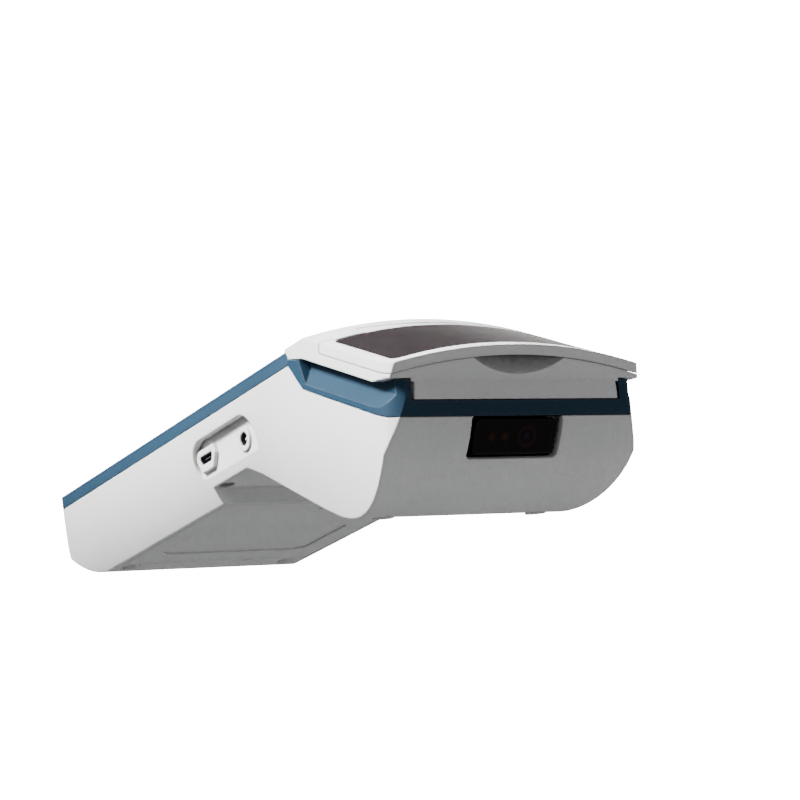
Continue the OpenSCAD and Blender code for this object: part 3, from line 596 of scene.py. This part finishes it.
def sleeve(name, outline, inner, x1, x2, mat):
    """A thin sleeve along X with a rolled lip, around one outline and inside another, in slab mm."""
    bm = bmesh.new()
    loops = []
    # from the back rim of the outside, over the lip, to the floor of the mouth
    for x, pts, grow in ((x1, outline, 0.0), (x2 - 0.15, outline, 0.0), (x2, outline, -0.12),
                         (x2, inner, 0.08), (x2 - 0.12, inner, 0.0), (x1 + 0.2, inner, 0.0)):
        ms = sum(p[0] for p in pts) / len(pts)
        mt = sum(p[1] for p in pts) / len(pts)
        row = []
        for s, t in pts:
            d = math.hypot(s - ms, t - mt)
            k = (d + grow) / d
            row.append(bm.verts.new(slab_point(x, ms + (s - ms) * k, mt + (t - mt) * k)))
        loops.append(row)
    n = len(outline)
    for a, b in zip(loops, loops[1:]):
        for i in range(n):
            bm.faces.new((a[i], a[(i + 1) % n], b[(i + 1) % n], b[i]))
    bm.faces.new(loops[0][::-1])
    bm.faces.new(loops[-1])
    return piece(name, bm, mat, "case", smooth=False)


def ring(s, t, r, n=40):
    """A circle in the slab's along-and-out plane."""
    angles = [2 * math.pi * k / n for k in range(n)]
    return [(s + r * math.cos(a), t + r * math.sin(a)) for a in angles]


def usb_outline(k, lift):
    """The six-cornered mouth of a small USB socket, scaled along by k and out by k * lift."""
    pts = [(-3.7, 1.36), (3.7, 1.36), (3.7, 0.02), (2.66, -1.36), (-2.66, -1.36), (-3.7, 0.02)]
    return [(USB_S + s * k, USB_T + t * k * lift) for s, t in pts]


o = sleeve("usb_liner", usb_outline(1.0, 1.0), usb_outline(0.91, 0.84), 36.9, 39.9, M["port"])
o = sleeve("jack_liner", ring(JACK_S, JACK_T, 2.04), ring(JACK_S, JACK_T, 1.72), 36.9, 39.4, M["black"])

# contact tongue of the socket and the jack's centre pin
bm = bmesh.new()
rows = []
for x, w, h in ((37.0, 2.5, 0.32), (38.9, 2.5, 0.32), (39.25, 2.3, 0.16)):
    rows.append([bm.verts.new(slab_point(x, USB_S + a * w, USB_T + 0.25 + b * h))
                 for a, b in ((-1, -1), (1, -1), (1, 1), (-1, 1))])
for a, b in zip(rows, rows[1:]):
    for i in range(4):
        bm.faces.new((a[i], a[(i + 1) % 4], b[(i + 1) % 4], b[i]))
bm.faces.new(rows[0][::-1])
bm.faces.new(rows[-1])
o = piece("usb_tongue", bm, M["black"], "case", smooth=False)
bm = bmesh.new()
pts = [slab_point(x, JACK_S, JACK_T) for x in (37.0, 37.8, 38.5, 38.9)]
tube(bm, pts, 0.00055, 16)
o = piece("jack_pin", bm, M["shaft"], "case")


# ---------------------------------------------------------------- stage and light
FLOOR_HALF_SIZE = 12.0
FLOOR_HEIGHT = -0.9
FLOOR_GLOW = 2.5
BACKDROP_SEEN = 22.0
BACKDROP_LIT = 0.205


def stage_plane(name, size, loc, colour):
    """A plain matte sheet for the object to be seen against; not part of the object."""
    bm = bmesh.new()
    bmesh.ops.create_grid(bm, x_segments=8, y_segments=8, size=size)
    me = bpy.data.meshes.new(name)
    bm.to_mesh(me)
    bm.free()
    o = bpy.data.objects.new(name, me)
    bpy.context.scene.collection.objects.link(o)
    o.location = loc
    g = Graph(name + "_paint")
    g.link(g.mix(g.noise(0.6, 2.0), colour, tone(colour, 0.985)), g.bsdf.inputs["Base Color"])
    g.bsdf.inputs["Roughness"].default_value = 0.9
    g.bsdf.inputs["Specular IOR Level"].default_value = 0.1
    # the floor looks as pale as the backdrop but casts no extra light
    seen_by = g.new("ShaderNodeLightPath")
    g.bsdf.inputs["Emission Color"].default_value = (1.0, 1.0, 1.0, 1.0)
    g.link(g.math("MULTIPLY", seen_by.outputs["Is Camera Ray"], FLOOR_GLOW),
           g.bsdf.inputs["Emission Strength"])
    me.materials.append(g.mat)


stage_plane("floor", FLOOR_HALF_SIZE, (0, 0, FLOOR_HEIGHT), (0.86, 0.86, 0.87))


def area(name, loc, target, size, power, spread):
    """A square area light aimed at a target; the spread is in degrees."""
    d = bpy.data.lights.new(name, "AREA")
    d.energy = power
    d.size = size
    d.color = (1, 1, 1)
    d.spread = math.radians(spread)
    o = bpy.data.objects.new(name, d)
    bpy.context.scene.collection.objects.link(o)
    o.location = loc
    o.rotation_euler = (Vector(target) - Vector(loc)).to_track_quat("-Z", "Y").to_euler()


area("key", (-0.1, -0.35, 0.95), (0, 0, 0.03), 0.6, 1.6, 60)
area("side", (1.0, 0.02, 0.86), (0.04, 0.1, 0.03), 0.5, 3.8, 26)
area("end", (-0.3, 1.3, 0.1), (0, 0.1, 0.02), 0.6, 0.2, 70)

# the backdrop looks white to the camera but casts a softer light
world = bpy.data.worlds.new("studio")
bpy.context.scene.world = world
world.use_nodes = True
wt = world.node_tree
wt.nodes.clear()
out = wt.nodes.new("ShaderNodeOutputWorld")
seen = wt.nodes.new("ShaderNodeBackground")
seen.inputs["Color"].default_value = (0.93, 0.935, 0.94, 1)
seen.inputs["Strength"].default_value = BACKDROP_SEEN
lit = wt.nodes.new("ShaderNodeBackground")
lit.inputs["Color"].default_value = (0.97, 0.985, 1.0, 1)
lit.inputs["Strength"].default_value = BACKDROP_LIT
path = wt.nodes.new("ShaderNodeLightPath")
blend = wt.nodes.new("ShaderNodeMixShader")
wt.links.new(path.outputs["Is Camera Ray"], blend.inputs[0])
wt.links.new(lit.outputs[0], blend.inputs[1])
wt.links.new(seen.outputs[0], blend.inputs[2])
wt.links.new(blend.outputs[0], out.inputs[0])
